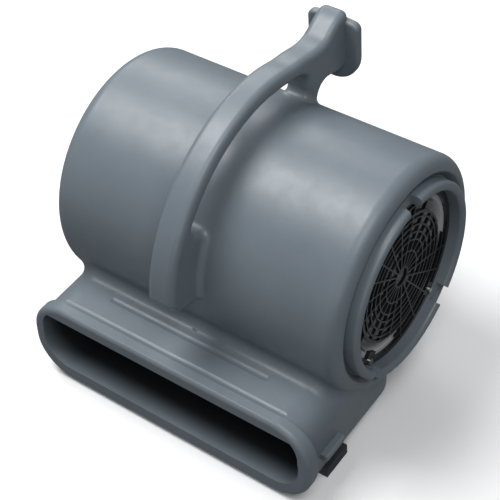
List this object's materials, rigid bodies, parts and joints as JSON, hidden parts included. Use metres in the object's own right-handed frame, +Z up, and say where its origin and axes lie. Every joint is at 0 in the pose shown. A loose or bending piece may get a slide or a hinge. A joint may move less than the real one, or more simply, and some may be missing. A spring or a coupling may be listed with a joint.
{
  "type": "air mover",
  "caption": "Snail-shell air mover with a moulded drum housing, wide low outlet, guarded side inlets, arched carry handle, cord-wrap plate and a driven blower wheel.",
  "frame": {"origin": "centre of the bounding box at floor level, under the rubber feet", "axes": "+X along the drum and wheel axis to the right as seen from the outlet, -Y is the way the outlet blows, +Z up"},
  "size_m": [0.454, 0.4166, 0.4191],
  "materials": {
    "moulded_housing": "satin rotational-moulded polyethylene, mid blue-grey",
    "inlet_ring_plastic": "light grey moulded plastic",
    "guard_plastic": "black moulded plastic",
    "zinc_steel": "zinc-plated steel",
    "screw_steel": "zinc-plated screws",
    "motor_paint": "black enamel",
    "bell_alloy": "die-cast",
    "lamination_steel": "oiled lamination steel",
    "copper_winding": "varnished copper wire",
    "bright_steel": "ground shaft steel",
    "wheel_galvanised": "galvanised sheet",
    "black_rubber": "moulded rubber",
    "foot_rubber": "dark grey moulded rubber",
    "panel_plastic": "black fine texture",
    "box_plastic": "black moulded plastic",
    "capacitor_case": "drawn aluminium can"
  },
  "bodies": {
    "frame": {"housing": "moulded_housing", "handle": "moulded_housing", "collar_right": "moulded_housing", "collar_left": "moulded_housing", "inlet_ring_right": "inlet_ring_plastic", "inlet_ring_left": "inlet_ring_plastic", "guard_right": "guard_plastic", "guard_left": "guard_plastic", "guard_screws": "screw_steel", "motor_mount": "zinc_steel", "mount_screws": "screw_steel", "mount_grommets": "black_rubber", "motor_studs": "zinc_steel", "motor_can": "motor_paint", "motor_bell_tail": "bell_alloy", "motor_bell_drive": "bell_alloy", "bearing_tail": "bright_steel", "bearing_drive": "bright_steel", "stator_core": "lamination_steel", "stator_windings": "copper_winding", "control_box": "box_plastic", "run_capacitor": "capacitor_case", "capacitor_strap": "zinc_steel", "rubber_feet": "foot_rubber", "foot_screws": "screw_steel", "control_plate": "panel_plastic", "plate_screws": "screw_steel", "switch_body": "box_plastic", "cord_gland": "black_rubber"},
    "blower": {"rotor_core": "lamination_steel", "motor_shaft": "bright_steel", "wheel_centre_plate": "wheel_galvanised", "wheel_hub": "zinc_steel", "wheel_set_screw": "screw_steel", "wheel_end_rings": "wheel_galvanised", "wheel_blades": "wheel_galvanised"},
    "knob": {"speed_knob": "panel_plastic"}
  },
  "joints": [
    {"name": "blower_spin", "type": "hinge", "parent": "frame", "child": "blower", "pos_m": [0, 0.02329, 0.207], "axis": [1, 0, 0], "continuous": true},
    {"name": "speed_select", "type": "hinge", "parent": "frame", "child": "knob", "pos_m": [-0.03, 0.13429, 0.04], "axis": [0, -1, 0], "range_deg": [0, 135]}
  ]
}
